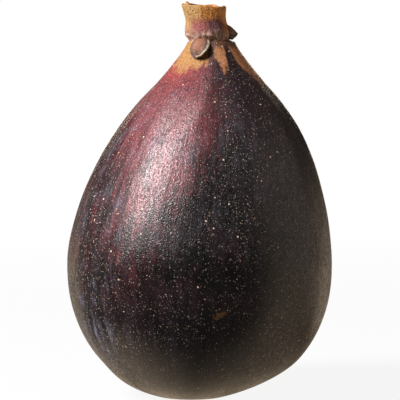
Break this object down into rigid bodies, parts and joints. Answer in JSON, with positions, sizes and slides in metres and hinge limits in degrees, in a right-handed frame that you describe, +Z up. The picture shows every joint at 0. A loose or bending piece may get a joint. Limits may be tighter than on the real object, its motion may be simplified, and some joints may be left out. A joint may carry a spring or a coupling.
{
  "type": "fresh fig",
  "caption": "Whole ripe dark fig standing on its eye end: teardrop body, tapering neck, short cut stalk and three small scale leaves where the stalk joins.",
  "frame": {"origin": "on the surface that the fig stands on, below the middle of its bounding box", "axes": "+Z up from the eye to the stalk, +X to the right and +Y away as seen from the fig's front, where the broad scale leaf lies on the neck"},
  "size_m": [0.0482, 0.0483, 0.0709],
  "materials": {
    "fig_skin": "thin satin skin with a waxy bloom: purple-black, crimson on the upper left, ochre at the neck, pale pores all over",
    "stalk_bark": "matt young bark, yellow-green at the cut end, blushed red-purple in the middle, grey-tan at the base"
  },
  "bodies": {
    "root": {"fruit": "fig_skin", "stalk": "stalk_bark"}
  },
  "joints": []
}
